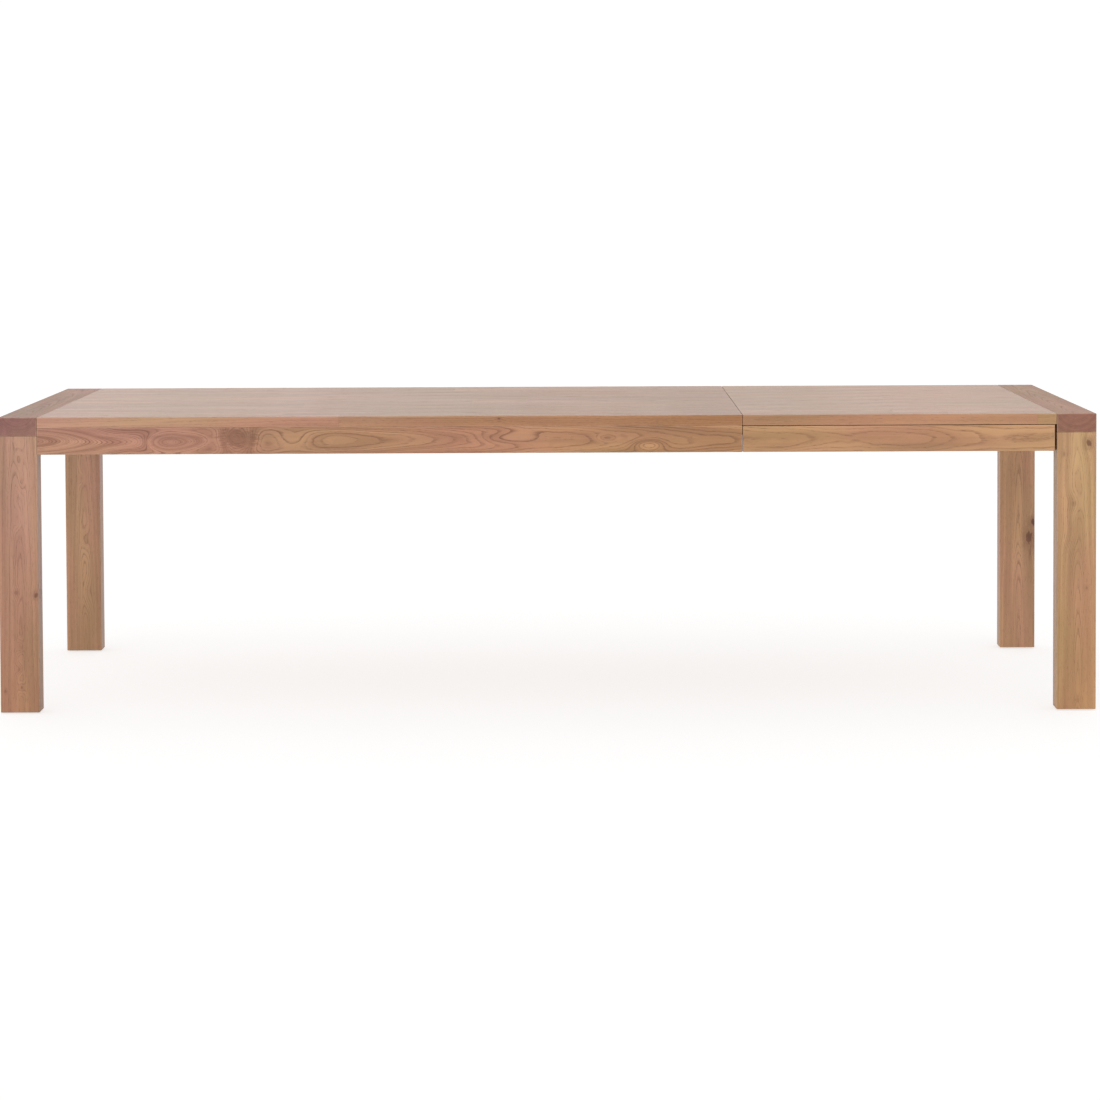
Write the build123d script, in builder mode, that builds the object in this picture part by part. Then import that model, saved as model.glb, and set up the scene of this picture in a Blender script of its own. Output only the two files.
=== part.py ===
"""Extendable dining table in solid oak: a fixed table, a pull-out end on runners and a loose leaf.

Millimetres. X runs along the table, -Y is the front and +Z is up. The origin is on the floor under
the middle of the extended table, which is drawn with the loose leaf in its gap.
"""

import os

from build123d import *

os.makedirs("parts", exist_ok=True)

# ---- driving dimensions ----------------------------------------------------------------------------
table_length = 2800.0  # extended, leaf in
table_width = 1000.0
table_height = 760.0
leaf_length = 800.0  # also how far the end travels inwards once the leaf is out
overtravel = 60.0  # how far the end pulls out past the leaf, so that the leaf has room to drop in
leg_width = 100.0  # along X
leg_depth = 55.0  # along Y
rail_thickness = 48.0  # end rail that lies on the two legs of an end
top_thickness = 27.0
apron_height = 68.0
apron_thickness = 22.0
beam_side = 30.0  # square steel tube
beam_y = 300.0  # centre line of each slide beam

# ---- gaps and eased edges --------------------------------------------------------------------------
seam = 1.0  # at each end of the leaf
fixed_seam = 0.3  # between the fixed top and the left end rail
joint_gap = 0.5  # between an apron or cross rail and the wood that it doesn't touch
leaf_shadow_gap = 1.5  # between the leaf and its aprons
leaf_apron_end_gap = 6.0  # between a leaf apron and the leg
beam_play = 0.5  # above and below a beam in its window, and above it to the bearers
roller_play = 0.3
running_play = 0.05  # radial, of what turns on an axle or a pivot
edge = 1.5  # rounded edges of the visible wood
apron_edge = 1.0
foot_chamfer = 1.2
hidden_chamfer = 1.0  # on the wood that doesn't show

# ---- joinery and hardware --------------------------------------------------------------------------
glide_height = 3.0
glide_radius = 10.0
glide_pin_radius = 1.2
glide_pin_length = 14.0
glide_chamfer = 0.6
tenon_x = 60.0
tenon_y = 25.0
tenon_z = 30.0
mortise_play = 0.1
socket_spare = 1.0  # how much deeper a mortise or dowel hole is than what goes into it
dowel_radius = 5.0
dowel_half_length = 28.0
dowel_play = 0.1
dowel_y = (-360.0, -180.0, 0.0, 180.0, 360.0)
block_leg = 32.0  # triangular blocks
block_nose = 4.0  # flat left at their two thin corners
main_block_length = 90.0
leaf_block_length = 60.0
corner_block_length = 36.0
bearer_width = 80.0
bolt_radius = 4.0
bolt_length = 55.0
bolt_head_flats = 13.0
bolt_head_height = 5.5
bolt_head_chamfer = 0.7
washer_radius = 8.0
washer_thickness = 1.6
screw_radius = 2.0
screw_hole_radius = 2.2  # in metal
sunk_head_radius = 4.0
head_proud = 0.3  # how far a sunk head stands out of wood
pan_head_radius = 3.4
pan_head_height = 2.0
pan_head_rounding = 0.8
recess_span = 4.0  # cross recess in the screw heads
recess_width = 1.0
recess_depth = 1.2
rail_screw_length = 50.0
rail_screw_y = (-380.0, -130.0, 130.0, 380.0)
slab_screw_length = 30.0  # through the bearers and battens into the tops
bearer_screw_y = (-410.0, -150.0, 0.0, 150.0, 410.0)
batten_screw_y = (-410.0, -200.0, 0.0, 200.0, 410.0)
channel_screw_length = 12.0
bracket_screw_length = 20.0
plate_screw_length = 22.0
lock_screw_length = 15.0
axle_radius = 3.0
axle_chamfer = 0.5
roller_chamfer = 0.8

# ---- places of the wood ----------------------------------------------------------------------------
half_length = table_length / 2
half_width = table_width / 2
inner_end = half_length - leg_width  # inner face of both end rails, as +-X
main_left = -inner_end
leaf_right = inner_end
leaf_left = leaf_right - leaf_length
leaf_middle = (leaf_left + leaf_right) / 2
leg_top = table_height - rail_thickness
slab_under = table_height - top_thickness
slab_middle_z = table_height - top_thickness / 2
apron_under = slab_under - apron_height
apron_inside = half_width - apron_thickness
apron_y = half_width - apron_thickness / 2
leg_y = half_width - leg_depth / 2
leg_bolt_y = apron_inside - 16.0
leg_bolt_z = (apron_under + 14.0, leg_top - 12.0)
rail_screw_z = leg_top + 12.0
cross_rail_x = inner_end - joint_gap - apron_thickness / 2
cross_rail_inner_face = cross_rail_x - apron_thickness / 2
rail_screw_head_x = cross_rail_inner_face - head_proud
mouth_rail_x = leaf_left - 70.0  # cross rail at the mouth of the fixed table
main_block_x = (-1220.0, -1040.0, -860.0, -560.0, -180.0, 190.0, 330.0)
leaf_block_x = (leaf_left + 200.0, leaf_left + 300.0, leaf_right - 300.0, leaf_right - 200.0)
corner_block_z = apron_under + apron_height / 2 - 14.0

# ---- places of the runners -------------------------------------------------------------------------
batten_thickness = 11.5  # the leaf's battens
batten_width = 60.0
batten_half_length = 440.0
batten_x = {"left": leaf_left + 120.0, "middle": leaf_middle, "right": leaf_right - 120.0}
beam_wall = 2.0
beam_corner = 3.0
beam_inner_corner = 1.0
beam_cap_thickness = 2.5
beam_cap_plug_length = 8.0
beam_bore = beam_side - 2 * beam_wall
beam_cap_plug = beam_bore - 1.0
beam_top = slab_under - batten_thickness
beam_under = beam_top - beam_side
beam_middle_z = beam_top - beam_side / 2
bearer_under = beam_top + beam_play  # the channels are screwed up against the bearers
bearer_thickness = slab_under - bearer_under
channel_height = 30.0
channel_wall = 2.5
channel_depth = 19.0
channel_z = bearer_under - channel_height / 2
channel_inside = beam_y + beam_side / 2 + 2.0  # tips of the flanges
channel_outside = channel_inside + channel_depth
channel_y = (channel_inside + channel_outside) / 2
window_inside = beam_y - beam_side / 2 - 3.0
window_under = beam_under - beam_play
window_y = (window_inside + channel_outside) / 2
window_z = (window_under + bearer_under) / 2
mouth_face = mouth_rail_x + apron_thickness / 2
mouth_axle_x = mouth_face + 15.0
mouth_roller_radius = 8.0
mouth_roller_width = beam_side - 2.0
mouth_axle_z = beam_under - roller_play - mouth_roller_radius
tail_roller_radius = channel_height / 2 - channel_wall - roller_play
tail_roller_width = 13.0
tail_roller_y = channel_outside - channel_wall - 1.2 - tail_roller_width / 2
tail_x = leaf_left - 425.0  # axle of the tail rollers
beam_start = tail_x - 15.0
channel_start = beam_start - leaf_length - 20.0
channel_end = mouth_face
bearer_x = (channel_start + 60.0, -330.0, 60.0)
lug_thickness = 3.0
lug_rounding = 4.0
bracket_top = beam_under - 1.0
bracket_under = mouth_axle_z - 11.0
bracket_reach = mouth_axle_x + 9.0 - mouth_face
lug_y = beam_side / 2 + 1.0 + lug_thickness / 2
bracket_screw_z = mouth_axle_z - 4.0
bracket_screw_offsets = (-9.0, 9.0)
stop_length = 20.0
stop_x = tail_x + overtravel + tail_roller_radius + roller_play + stop_length / 2
beam_plate_thickness = 4.0
beam_plate_width = 70.0
beam_plate_height = 44.0
beam_plate_corner = 5.0
plate_hole_y = 26.0  # from the middle of the plate
plate_hole_z = 13.0
beam_end = cross_rail_inner_face - beam_plate_thickness
leaf_pin_radius = 4.0
leaf_pin_play = 0.4
leaf_pin_height = batten_thickness - 1.5
leaf_pin_chamfer = 1.5

# ---- places of the leaf locks ----------------------------------------------------------------------
lock_y = 400.0
lock_pivot_x = leaf_left + 40.0
lock_reach = 62.0  # from a lever's pivot to its keeper's stud
lock_tip = lock_reach + 13.0
lock_tail = 24.0
lever_width = 18.0
lever_thickness = 3.0
lever_play = 0.3
lever_corner = 5.0
lever_tab_height = 14.0
lever_tab_thickness = 2.5
lever_tab_width = lever_width - 6.0
lever_tab_y = lock_tail - 4.0  # from the pivot
lock_plate = 2.0
lock_plate_width = 36.0
lock_plate_length = 56.0
keeper_width = 26.0
keeper_length = 60.0
lock_corner = 4.0
lock_screw_offsets = (-22.0, 22.0)
lock_sink_radius = sunk_head_radius + 0.2
plate_under = slab_under - lock_plate
lever_under = plate_under - lever_play - lever_thickness
stud_x = lock_pivot_x - lock_reach
stud_radius = 4.0
stud_slot_radius = 5.0
stud_height = 2 * lever_play + lever_thickness + 1.5
pivot_head_radius = 5.5
pivot_head_height = 1.8

sides = {"front": -1, "back": 1}
ends = {"left": -1, "right": 1}


def save(shape, name):
    """Write one finished piece, or one group of identical pieces, as a STEP file of its own."""
    shape.label = name
    export_step(shape, f"parts/{name}.step")


# ---- wood ------------------------------------------------------------------------------------------
def board(middle_x, middle_y, under, size_x, size_y, size_z, rounding):
    """A plain board with all its edges rounded."""
    with BuildPart() as piece:
        with BuildSketch(Plane.XY.offset(under)):
            with Locations((middle_x, middle_y)):
                Rectangle(size_x, size_y)
        extrude(amount=size_z)
        fillet(piece.edges(), rounding)
    return piece.part


def leg(end, side):
    """A flat leg with a tenon on top and holes for the bolts through the cross rail."""
    middle = (end * (half_length - leg_width / 2), side * leg_y)
    with BuildPart() as piece:
        with BuildSketch(Plane.XY.offset(glide_height)):
            with Locations(middle):
                Rectangle(leg_width, leg_depth)
        extrude(amount=leg_top - glide_height)
        fillet(piece.edges().filter_by(Axis.Z), edge)
        chamfer(piece.faces().sort_by(Axis.Z)[0].edges(), foot_chamfer)
        with BuildSketch(Plane.XY.offset(leg_top)):
            with Locations(middle):
                Rectangle(tenon_x, tenon_y)
        extrude(amount=tenon_z)
        chamfer(piece.faces().sort_by(Axis.Z)[-1].edges(), hidden_chamfer)
        for bolt_z in leg_bolt_z:
            with BuildSketch(Plane((end * inner_end, side * leg_bolt_y, bolt_z), z_dir=(-end, 0, 0))):
                Circle(bolt_radius)
            extrude(amount=-bolt_length, mode=Mode.SUBTRACT)
    return piece.part


def end_rail(end):
    """The thick rail that lies across two legs, mortised for their tenons."""
    middle_x = end * (half_length - leg_width / 2)
    with BuildPart() as piece:
        with BuildSketch(Plane.XY.offset(leg_top)):
            with Locations((middle_x, 0)):
                Rectangle(leg_width, table_width)
        extrude(amount=rail_thickness)
        fillet(piece.edges(), edge)
        with BuildSketch(Plane.XY.offset(leg_top)):
            with Locations((middle_x, -leg_y), (middle_x, leg_y)):
                Rectangle(tenon_x + 2 * mortise_play, tenon_y + 2 * mortise_play)
        extrude(amount=tenon_z + socket_spare, mode=Mode.SUBTRACT)
        if end == ends["left"]:
            with BuildSketch(Plane.YZ.offset(main_left)):
                with Locations(*((y, slab_middle_z) for y in dowel_y)):
                    Circle(dowel_radius + dowel_play)
            extrude(amount=-(dowel_half_length + socket_spare), mode=Mode.SUBTRACT)
    return piece.part


def end_cross_rail(end):
    """The rail between two legs, bolted to their inner faces under the tops."""
    with BuildPart() as piece:
        with BuildSketch(Plane.XY.offset(apron_under)):
            with Locations((end * cross_rail_x, 0)):
                Rectangle(apron_thickness, 2 * (apron_inside - joint_gap))
        extrude(amount=apron_height - joint_gap)
        chamfer(piece.edges().filter_by(Axis.Y), hidden_chamfer)
        with BuildSketch(Plane.YZ.offset(end * cross_rail_x)):
            with Locations(*((s * leg_bolt_y, z) for s in sides.values() for z in leg_bolt_z)):
                Circle(bolt_radius)
        extrude(amount=apron_thickness, both=True, mode=Mode.SUBTRACT)
    return piece.part


def triangular_block(corner, length):
    """A glue block that fills the corner between two boards. corner is the plane across its middle."""
    with BuildPart() as piece:
        with BuildSketch(corner):
            with BuildLine():
                Polyline(
                    (0, 0),
                    (block_leg, 0),
                    (block_leg, block_nose),
                    (block_nose, block_leg),
                    (0, block_leg),
                    close=True,
                )
            make_face()
        extrude(amount=length / 2, both=True)
    return piece.part


def top_block(middle_x, side, length):
    """A glue block between the underside of a top and the inner face of its apron."""
    corner = Plane((middle_x, side * apron_inside, slab_under), x_dir=(0, -side, 0), z_dir=(side, 0, 0))
    return triangular_block(corner, length)


# ---- fasteners -------------------------------------------------------------------------------------
def cross_recess(top):
    """What a cross recess takes out of the screw head whose top lies in the plane."""
    with BuildPart() as piece:
        with BuildSketch(top):
            Rectangle(recess_span, recess_width)
            Rectangle(recess_width, recess_span)
        extrude(amount=-recess_depth)
    return piece.part


def driven(point, outward, length):
    """A wood screw with a sunk head whose top is at point. outward is the way that it faces."""
    face = Plane(point, z_dir=outward)
    with BuildPart() as piece:
        with BuildSketch(face):
            Circle(screw_radius)
        extrude(amount=-length)
        with BuildSketch(face):
            Circle(sunk_head_radius)
        with BuildSketch(face.offset(screw_radius - sunk_head_radius)):
            Circle(screw_radius)
        loft()
        add(cross_recess(face), mode=Mode.SUBTRACT)
    return piece.part


def pan_screw(point, outward, length):
    """A screw with a raised head that lies on the face at point. outward is the face's normal."""
    face = Plane(point, z_dir=outward)
    with BuildPart() as piece:
        with BuildSketch(face):
            Circle(screw_radius)
        extrude(amount=-length)
        with BuildSketch(face):
            Circle(pan_head_radius)
        extrude(amount=pan_head_height)
        fillet(piece.faces().sort_by(Axis(point, outward))[-1].edges(), pan_head_rounding)
        add(cross_recess(face.offset(pan_head_height)), mode=Mode.SUBTRACT)
    return piece.part


def hex_bolt(face_x, y, z, outward):
    """A hex bolt on its washer. outward is +1 or -1, the way along X that its head points."""
    with BuildPart() as piece:
        with BuildSketch(Plane((face_x, y, z), z_dir=(outward, 0, 0))):
            Circle(washer_radius)
        extrude(amount=washer_thickness)
        with BuildSketch(Plane((face_x + outward * washer_thickness, y, z), z_dir=(outward, 0, 0))):
            RegularPolygon(bolt_head_flats / 2, 6, major_radius=False)
        extrude(amount=bolt_head_height)
        chamfer(piece.faces().sort_by(Axis((0, 0, 0), (outward, 0, 0)))[-1].edges(), bolt_head_chamfer)
        with BuildSketch(Plane((face_x, y, z), z_dir=(outward, 0, 0))):
            Circle(bolt_radius)
        extrude(amount=-bolt_length)
    return piece.part


def glide(x, y):
    """A nylon pad under a leg, with a pin driven into the leg."""
    with BuildPart() as piece:
        with BuildSketch():
            with Locations((x, y)):
                Circle(glide_radius)
        extrude(amount=glide_height)
        chamfer(piece.faces().sort_by(Axis.Z)[0].edges(), glide_chamfer)
        with BuildSketch(Plane.XY.offset(glide_height)):
            with Locations((x, y)):
                Circle(glide_pin_radius)
        extrude(amount=glide_pin_length)
    return piece.part


# ---- the two ends ----------------------------------------------------------------------------------
for end_name, end in ends.items():
    save(end_rail(end), f"{end_name}_end_rail")
    save(end_cross_rail(end), f"{end_name}_cross_rail")
    for side_name, side in sides.items():
        save(leg(end, side), f"{end_name}_{side_name}_leg")
    leg_bolts = [
        hex_bolt(end * cross_rail_inner_face, side * leg_bolt_y, z, -end)
        for side in sides.values()
        for z in leg_bolt_z
    ]
    save(Compound(leg_bolts), f"{end_name}_leg_bolts")
    rail_screws = [
        driven((end * rail_screw_head_x, y, rail_screw_z), (-end, 0, 0), rail_screw_length)
        for y in rail_screw_y
    ]
    save(Compound(rail_screws), f"{end_name}_rail_screws")
    leg_glides = [
        glide(end * (half_length - leg_width / 2) + offset * leg_width / 4, side * leg_y)
        for side in sides.values()
        for offset in (-1, 1)
    ]
    save(Compound(leg_glides), f"{end_name}_glides")

# ---- fixed table -----------------------------------------------------------------------------------
main_top_length = leaf_left - main_left - fixed_seam
with BuildPart() as main_top:
    with BuildSketch(Plane.XY.offset(slab_under)):
        with Locations((leaf_left - main_top_length / 2, 0)):
            Rectangle(main_top_length, table_width)
    extrude(amount=top_thickness)
    fillet(main_top.edges(), edge)
    with BuildSketch(Plane.YZ.offset(main_left)):
        with Locations(*((y, slab_middle_z) for y in dowel_y)):
            Circle(dowel_radius + dowel_play)
    extrude(amount=dowel_half_length + socket_spare, mode=Mode.SUBTRACT)
save(main_top.part, "main_top")

end_dowels = []
for y in dowel_y:
    with BuildPart() as end_dowel:
        with BuildSketch(Plane((main_left - dowel_half_length, y, slab_middle_z), z_dir=(1, 0, 0))):
            Circle(dowel_radius)
        extrude(amount=2 * dowel_half_length)
        chamfer(end_dowel.edges().filter_by(GeomType.CIRCLE), hidden_chamfer)
    end_dowels.append(end_dowel.part)
save(Compound(end_dowels), "left_end_dowels")

main_apron_length = leaf_left - main_left - 2 * joint_gap
for side_name, side in sides.items():
    main_apron = board(
        (main_left + leaf_left) / 2,
        side * apron_y,
        apron_under,
        main_apron_length,
        apron_thickness,
        apron_height,
        apron_edge,
    )
    save(main_apron, f"main_{side_name}_apron")

with BuildPart() as mouth_cross_rail:
    with BuildSketch(Plane.XY.offset(apron_under)):
        with Locations((mouth_rail_x, 0)):
            Rectangle(apron_thickness, 2 * apron_inside)
    extrude(amount=apron_height)
    chamfer(mouth_cross_rail.edges().filter_by(Axis.Y), hidden_chamfer)
    with BuildSketch(Plane.YZ.offset(mouth_rail_x)):
        with Locations(*((side * window_y, window_z) for side in sides.values())):
            Rectangle(channel_outside - window_inside, bearer_under - window_under)
    extrude(amount=apron_thickness, both=True, mode=Mode.SUBTRACT)
save(mouth_cross_rail.part, "mouth_cross_rail")

for number, x in enumerate(bearer_x, start=1):
    with BuildPart() as bearer:
        with BuildSketch(Plane.XY.offset(bearer_under)):
            with Locations((x, 0)):
                Rectangle(bearer_width, 2 * batten_half_length)
        extrude(amount=bearer_thickness)
        chamfer(bearer.faces().sort_by(Axis.Z)[0].edges(), hidden_chamfer)
    save(bearer.part, f"bearer_{number}")

bearer_screws = [
    driven((x, y, bearer_under - head_proud), (0, 0, -1), slab_screw_length)
    for x in bearer_x
    for y in bearer_screw_y
]
save(Compound(bearer_screws), "bearer_screws")

main_blocks = [top_block(x, side, main_block_length) for x in main_block_x for side in sides.values()]
save(Compound(main_blocks), "main_glue_blocks")

corner_blocks = []
for side in sides.values():
    corner = Plane(
        (mouth_rail_x - apron_thickness / 2, side * apron_inside, corner_block_z),
        x_dir=(-1, 0, 0),
        z_dir=(0, 0, side),
    )
    corner_blocks.append(triangular_block(corner, corner_block_length))
save(Compound(corner_blocks), "mouth_corner_blocks")

# ---- roller runners under the fixed table ----------------------------------------------------------


def axle(x, z, y_from, y_to):
    """A plain axle along Y with chamfered ends."""
    with BuildPart() as piece:
        with BuildSketch(Plane((x, y_from, z), z_dir=(0, 1, 0))):
            Circle(axle_radius)
        extrude(amount=y_to - y_from)
        chamfer(piece.edges().filter_by(GeomType.CIRCLE), axle_chamfer)
    return piece.part


def roller(x, z, middle_y, radius, width):
    """A nylon roller, bored to turn on its axle."""
    with BuildPart() as piece:
        with BuildSketch(Plane((x, middle_y - width / 2, z), z_dir=(0, 1, 0))):
            Circle(radius)
        extrude(amount=width)
        chamfer(piece.edges().filter_by(GeomType.CIRCLE), roller_chamfer)
        with BuildSketch(Plane((x, middle_y - width / 2, z), z_dir=(0, 1, 0))):
            Circle(axle_radius + running_play)
        extrude(amount=width, mode=Mode.SUBTRACT)
    return piece.part


def guide_channel(side):
    """A C-shaped aluminium channel, open towards the slide beam, that a tail roller runs in."""
    with BuildPart() as piece:
        with BuildSketch(Plane.YZ.offset(channel_start)):
            with Locations((side * channel_y, channel_z)):
                Rectangle(channel_depth, channel_height)
            with Locations((side * (channel_y - channel_wall), channel_z)):
                Rectangle(channel_depth, channel_height - 2 * channel_wall, mode=Mode.SUBTRACT)
        extrude(amount=channel_end - channel_start)
        with BuildSketch(Plane.XY.offset(bearer_under - channel_wall)):
            with Locations(*((x, side * channel_y) for x in bearer_x)):
                Circle(screw_hole_radius)
        extrude(amount=channel_wall, mode=Mode.SUBTRACT)
    return piece.part


def mouth_bracket(middle_y):
    """A steel bracket on the mouth rail whose two lugs hold a roller's axle."""
    with BuildPart() as piece:
        with BuildSketch(Plane.XY.offset(bracket_under)):
            with Locations((mouth_face + lug_thickness / 2, middle_y)):
                Rectangle(lug_thickness, 2 * lug_y + lug_thickness)
            with Locations(*((mouth_face + bracket_reach / 2, middle_y + s * lug_y) for s in (-1, 1))):
                Rectangle(bracket_reach, lug_thickness)
        extrude(amount=bracket_top - bracket_under)
        fillet(piece.edges().filter_by(Axis.Y).group_by(Axis.X)[-1], lug_rounding)
        with BuildSketch(Plane((mouth_axle_x, middle_y, mouth_axle_z), z_dir=(0, 1, 0))):
            Circle(axle_radius)
        extrude(amount=2 * lug_y, both=True, mode=Mode.SUBTRACT)
        with BuildSketch(Plane.YZ.offset(mouth_face)):
            with Locations(*((middle_y + offset, bracket_screw_z) for offset in bracket_screw_offsets)):
                Circle(screw_hole_radius)
        extrude(amount=lug_thickness, mode=Mode.SUBTRACT)
    return piece.part


mouth_axle_half = lug_y + lug_thickness / 2 + 1.0
mouth_brackets = []
mouth_axles = []
bracket_screws = []
slide_stops = []
for side_name, side in sides.items():
    middle_y = side * beam_y
    save(guide_channel(side), f"{side_name}_guide_channel")
    save(
        roller(mouth_axle_x, mouth_axle_z, middle_y, mouth_roller_radius, mouth_roller_width),
        f"{side_name}_mouth_roller",
    )
    mouth_brackets.append(mouth_bracket(middle_y))
    mouth_axles.append(
        axle(mouth_axle_x, mouth_axle_z, middle_y - mouth_axle_half, middle_y + mouth_axle_half)
    )
    for offset in bracket_screw_offsets:
        screw_point = (mouth_face + lug_thickness, middle_y + offset, bracket_screw_z)
        bracket_screws.append(pan_screw(screw_point, (1, 0, 0), bracket_screw_length))
    with BuildPart() as slide_stop:
        with BuildSketch(Plane.XY.offset(channel_z - channel_height / 2 + channel_wall)):
            with Locations((stop_x, side * (channel_y - channel_wall / 2))):
                Rectangle(stop_length, channel_depth - channel_wall)
        extrude(amount=channel_height - 2 * channel_wall)
    slide_stops.append(slide_stop.part)
save(Compound(mouth_brackets), "mouth_brackets")
save(Compound(mouth_axles), "mouth_axles")
save(Compound(bracket_screws), "bracket_screws")
save(Compound(slide_stops), "slide_stops")

channel_screws = [
    pan_screw((x, side * channel_y, bearer_under - channel_wall), (0, 0, -1), channel_screw_length)
    for x in bearer_x
    for side in sides.values()
]
save(Compound(channel_screws), "channel_screws")

# ---- pull-out end: slide beams, plates, pins and tail rollers --------------------------------------


def slide_beam(side):
    """A square steel tube with holes for its tail axle and for two of the leaf's pins."""
    section = Plane.YZ.offset(beam_start)
    with BuildPart() as piece:
        with BuildSketch(section):
            with Locations((side * beam_y, beam_middle_z)):
                RectangleRounded(beam_side, beam_side, beam_corner)
        extrude(amount=beam_end - beam_start)
        with BuildSketch(section):
            with Locations((side * beam_y, beam_middle_z)):
                RectangleRounded(beam_bore, beam_bore, beam_inner_corner)
        extrude(amount=beam_end - beam_start, mode=Mode.SUBTRACT)
        with BuildSketch(Plane((tail_x, side * beam_y, channel_z), z_dir=(0, side, 0))):
            Circle(axle_radius)
        extrude(amount=beam_side, mode=Mode.SUBTRACT)
        with BuildSketch(Plane.XY.offset(beam_middle_z)):
            with Locations(*((batten_x[name], side * beam_y) for name in ("left", "right"))):
                Circle(leaf_pin_radius)
        extrude(amount=beam_side, mode=Mode.SUBTRACT)
    return piece.part


beam_plates = []
beam_caps = []
beam_plate_screws = []
leaf_pins = []
tail_axles = []
for side_name, side in sides.items():
    middle = (side * beam_y, beam_middle_z)
    plate_holes = [
        (middle[0] + i * plate_hole_y, middle[1] + j * plate_hole_z) for i in (-1, 1) for j in (-1, 1)
    ]
    save(slide_beam(side), f"{side_name}_slide_beam")
    with BuildPart() as beam_plate:
        with BuildSketch(Plane.YZ.offset(beam_end)):
            with Locations(middle):
                RectangleRounded(beam_plate_width, beam_plate_height, beam_plate_corner)
            with Locations(*plate_holes):
                Circle(screw_hole_radius, mode=Mode.SUBTRACT)
        extrude(amount=beam_plate_thickness)
    beam_plates.append(beam_plate.part)
    for hole_y, hole_z in plate_holes:
        beam_plate_screws.append(pan_screw((beam_end, hole_y, hole_z), (-1, 0, 0), plate_screw_length))
    with BuildPart() as beam_cap:
        with BuildSketch(Plane.YZ.offset(beam_start)):
            with Locations(middle):
                RectangleRounded(beam_side, beam_side, beam_corner)
        extrude(amount=-beam_cap_thickness)
        with BuildSketch(Plane.YZ.offset(beam_start)):
            with Locations(middle):
                Rectangle(beam_cap_plug, beam_cap_plug)
        extrude(amount=beam_cap_plug_length)
    beam_caps.append(beam_cap.part)
    for name in ("left", "right"):
        with BuildPart() as leaf_pin:
            with BuildSketch(Plane.XY.offset(beam_top - beam_wall)):
                with Locations((batten_x[name], side * beam_y)):
                    Circle(leaf_pin_radius)
            extrude(amount=beam_wall + leaf_pin_height)
            chamfer(leaf_pin.faces().sort_by(Axis.Z)[-1].edges(), leaf_pin_chamfer)
        leaf_pins.append(leaf_pin.part)
    axle_ends = (side * (beam_y + beam_bore / 2), side * (tail_roller_y + tail_roller_width / 2))
    tail_axles.append(axle(tail_x, channel_z, min(axle_ends), max(axle_ends)))
    save(
        roller(tail_x, channel_z, side * tail_roller_y, tail_roller_radius, tail_roller_width),
        f"{side_name}_tail_roller",
    )
save(Compound(beam_plates), "beam_plates")
save(Compound(beam_plate_screws), "beam_plate_screws")
save(Compound(beam_caps), "beam_caps")
save(Compound(leaf_pins), "leaf_pins")
save(Compound(tail_axles), "tail_axles")

# ---- loose leaf ------------------------------------------------------------------------------------
leaf_top = board(
    leaf_middle, 0, slab_under, leaf_length - 2 * seam, table_width, top_thickness, edge
)
save(leaf_top, "leaf_top")

leaf_apron_length = leaf_length - seam - leaf_apron_end_gap
for side_name, side in sides.items():
    leaf_apron = board(
        leaf_left + seam + leaf_apron_length / 2,
        side * apron_y,
        apron_under,
        leaf_apron_length,
        apron_thickness,
        apron_height - leaf_shadow_gap,
        apron_edge,
    )
    save(leaf_apron, f"leaf_{side_name}_apron")

for batten_name, x in batten_x.items():
    with BuildPart() as batten:
        with BuildSketch(Plane.XY.offset(beam_top)):
            with Locations((x, 0)):
                Rectangle(batten_width, 2 * batten_half_length)
        extrude(amount=batten_thickness)
        chamfer(batten.faces().sort_by(Axis.Z)[0].edges(), hidden_chamfer)
        if batten_name != "middle":
            with BuildSketch(Plane.XY.offset(beam_top)):
                with Locations((x, -beam_y), (x, beam_y)):
                    Circle(leaf_pin_radius + leaf_pin_play)
            extrude(amount=batten_thickness, mode=Mode.SUBTRACT)
    save(batten.part, f"leaf_{batten_name}_batten")

batten_screws = [
    driven((x, y, beam_top - head_proud), (0, 0, -1), slab_screw_length)
    for x in batten_x.values()
    for y in batten_screw_y
]
save(Compound(batten_screws), "batten_screws")

leaf_blocks = [top_block(x, side, leaf_block_length) for x in leaf_block_x for side in sides.values()]
save(Compound(leaf_blocks), "leaf_glue_blocks")

# ---- leaf locks: a hook under the leaf and a stud under the fixed top, at the front and at the back ---


def lock_lever(side):
    """A flat hook that turns on its pivot. It is drawn open, pointing to the middle of the table."""
    inwards = -side
    pivot = Plane((lock_pivot_x, side * lock_y, lever_under))
    with BuildPart() as piece:
        with BuildSketch(pivot):
            with Locations((0, inwards * (lock_tip - lock_tail) / 2)):
                RectangleRounded(lever_width, lock_tip + lock_tail, lever_corner)
            Circle(axle_radius + running_play, mode=Mode.SUBTRACT)
            with Locations((-lever_width / 2, inwards * lock_reach)):
                SlotOverall(lever_width + 2 * stud_slot_radius, 2 * stud_slot_radius, mode=Mode.SUBTRACT)
        extrude(amount=lever_thickness)
        with BuildSketch(pivot):
            with Locations((0, -inwards * lever_tab_y)):
                Rectangle(lever_tab_width, lever_tab_thickness)
        extrude(amount=-lever_tab_height)
    return piece.part


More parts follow.
